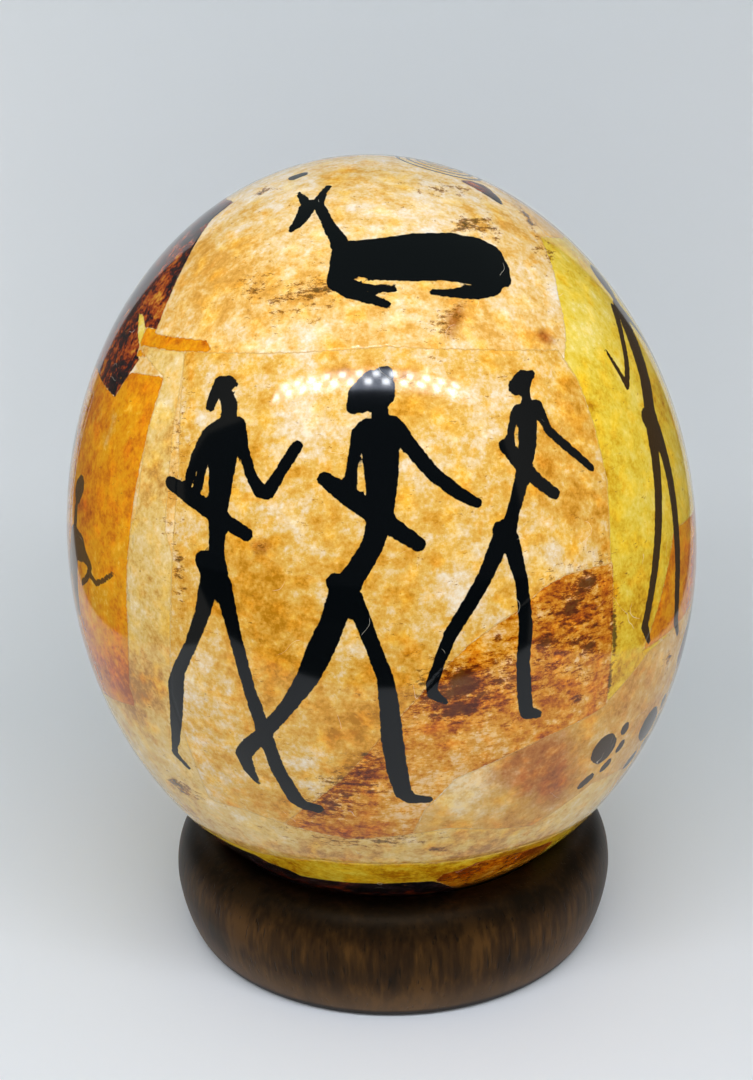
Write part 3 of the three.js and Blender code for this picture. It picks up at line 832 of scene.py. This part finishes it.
def glowing_card(name, colour, shown, lit):
    """White card glowing as if lit from the box's front edge; each pair is its glow at front and back.

    The first pair is what shiny surfaces show of it. The second, stronger one is what lights matt surfaces,
    as lamps behind the card would.
    """
    material, add = new_material(name)
    place = add("TexCoord").outputs["Object"]
    way_back = add("SeparateXYZ", {"Vector": place}).outputs["Y"]
    span = {"Value": way_back, "From Min": GLOW_FRONT, "From Max": GLOW_BACK}
    for_shiny, for_matt = [
        add("MapRange", {**span, "To Min": front, "To Max": back}) for front, back in (shown, lit)
    ]
    onto_matt = add("LightPath").outputs["Is Diffuse Ray"]
    glow = add("Mix", {"Factor": onto_matt, 2: for_shiny, 3: for_matt})
    light = add("Emission", {"Color": linear(colour), "Strength": glow})
    add("OutputMaterial", {"Surface": light})
    return material


def stage_panel(name, corners_mm, material):
    """A flat panel of the white box from its corners, which the camera doesn't see."""
    panel = new_piece(name, np.array(corners_mm, float), np.arange(len(corners_mm))[None, :], material)
    panel.visible_camera = False
    return panel


LEFT, RIGHT, FRONT, BACK, TOP = -215, 202, -195, 260, 330
SWEEP_RADIUS = 150
FLOOR_FRONT, BACKDROP_TOP, HALF_WIDTH = -1500, 1600, 2200
sweep_angle = np.linspace(0, np.pi / 2, 25)
sweep_curve = np.stack([np.sin(sweep_angle), 1 - np.cos(sweep_angle)], axis=1) * SWEEP_RADIUS
sweep_curve += [BACK - SWEEP_RADIUS, 0]
sweep = np.concatenate([[[FLOOR_FRONT, 0]], sweep_curve, [[BACK, BACKDROP_TOP]]])
floor_points = np.concatenate([np.insert(sweep, 0, x, axis=1) for x in (-HALF_WIDTH, HALF_WIDTH)])
count = len(sweep)
floor_quads = np.array([[k, k + count, k + count + 1, k + 1] for k in range(count - 1)])
floor = new_piece("floor_and_backdrop", floor_points, floor_quads, white_card())

# The walls' edges as (y, z): their front edges from the floor up, and the back edge that they share.
LEFT_EDGE = [(-185, 0), (-140, 60), (-98, 150), (-118, 200), (-175, 250), (-195, TOP)]
RIGHT_EDGE = [(-205, 0), (-200, 200), (-195, TOP)]
BACK_EDGE = [(BACK, TOP), (BACK, 0)]
CEILING = [(LEFT, FRONT, TOP), (RIGHT, FRONT, TOP), (RIGHT, BACK, TOP), (LEFT, BACK, TOP)]
for name, colour, shown, lit, corners in (
    ("left_wall", "#F2EEE4", (0.45, 0.12), (2, 1), [(LEFT, y, z) for y, z in LEFT_EDGE + BACK_EDGE]),
    ("right_wall", "#F2EEE4", (0.4, 0.11), (1.2, 0.68), [(RIGHT, y, z) for y, z in RIGHT_EDGE + BACK_EDGE]),
    ("ceiling", "#CFE0DB", (0.2, 0.2), (0.52, 0.52), CEILING),
):
    stage_panel(name, corners, glowing_card(f"glowing_{name}", colour, shown, lit))
TABLE = [(-900, -1400, 0.5), (900, -1400, 0.5), (900, FRONT, 0.5), (-900, FRONT, 0.5)]
dark_table = stage_panel("table_before_the_box", TABLE, plain_material("dark_table", "#2A2A2C"))
dark_table.visible_diffuse = False
dark_table.visible_shadow = False

# %% Lights
def area_light(name, place_mm, aim_mm, width_mm, height_mm, power, colour="#FFFFFF"):
    """A soft rectangular light at a place, aimed at a point."""
    data = bpy.data.lights.new(name, "AREA")
    data.shape, data.size, data.size_y = "RECTANGLE", width_mm * MM, height_mm * MM
    data.energy, data.color = power, linear(colour)[:3]
    light = bpy.data.objects.new(name, data)
    light.location = Vector(place_mm) * MM
    light.rotation_euler = (Vector(aim_mm) - Vector(place_mm)).to_track_quat("-Z", "Y").to_euler()
    scene.collection.objects.link(light)
    light.visible_camera = False
    return light


KEY_POWER = 1.08
FILL_POWER = 0.5
key = area_light("row_of_lights", (0, -200, 320), (0, 0, 70), 400, 60, KEY_POWER, "#F8FAFF")
key.visible_glossy = False
fill = area_light("open_front", (0, -420, 160), (0, 0, 90), 380, 240, FILL_POWER)
fill.visible_glossy = False

LIGHT_POINTS = 12
point_x = np.linspace(-151, 131, LIGHT_POINTS)
rows = np.array([(x + shift, FRONT, z) for shift, z in ((0, 304), (-12, 289)) for x in point_x])
corner_steps = np.array([(-5, 0, -5), (5, 0, -5), (5, 0, 5), (-5, 0, 5)])
light_points = (rows[:, None, :] + corner_steps).reshape(-1, 3)
lit_strip = np.array([(-176, -197, 277), (158, -197, 277), (150, -197, 316), (-164, -197, 316)], float)
for name, corners, glowing, colour, glow in (
    ("light_points", light_points, "light_point", "#F4F8FF", 52),
    ("lamp_strip", lit_strip, "lit_strip", "#DCE8FF", 6.5),
):
    quads = np.arange(len(corners)).reshape(-1, 4)
    lamp = new_piece(name, corners, quads, plain_material(glowing, colour, glow))
    lamp.visible_camera = False
    lamp.visible_diffuse = False
    lamp.visible_shadow = False

world = bpy.data.worlds.new("dark_room")
world.use_nodes = True
world.node_tree.nodes.clear()
add = partial(node, world.node_tree)
room = add("Background", {"Color": linear("#404246")})
backdrop = add("Background", {"Color": linear("#C6C9CB")})
straight_view = add("LightPath").outputs["Is Camera Ray"]
add("OutputWorld", {"Surface": add("MixShader", {0: straight_view, 1: room, 2: backdrop})})
scene.world = world

# %% [markdown]
# ## The camera
# The camera looks down on the egg by 18 degrees from 31 cm away, a hand's breadth in front of the box.

# %% Camera
CAMERA_DOWN = math.radians(17.795)
CAMERA_ROLL = math.radians(-1)
forward = Vector((0, math.cos(CAMERA_DOWN), -math.sin(CAMERA_DOWN)))
level_right = Vector((1, 0, 0))
level_up = level_right.cross(forward)
right = level_right * math.cos(CAMERA_ROLL) + level_up * math.sin(CAMERA_ROLL)
upwards = level_up * math.cos(CAMERA_ROLL) - level_right * math.sin(CAMERA_ROLL)
camera_data = bpy.data.cameras.new("camera")
camera_data.lens = 50
camera_data.sensor_width = 36
camera_data.clip_start = 0.01
camera = bpy.data.objects.new("camera", camera_data)
pose = Matrix([right, upwards, -forward]).transposed().to_4x4()
pose.translation = Vector((-1.152, -292.121, 177.126)) * MM
camera.matrix_world = pose
scene.collection.objects.link(camera)
scene.camera = camera
scene.view_settings.view_transform = "Standard"
print("camera at", [round(value / MM) for value in camera.location], "mm")
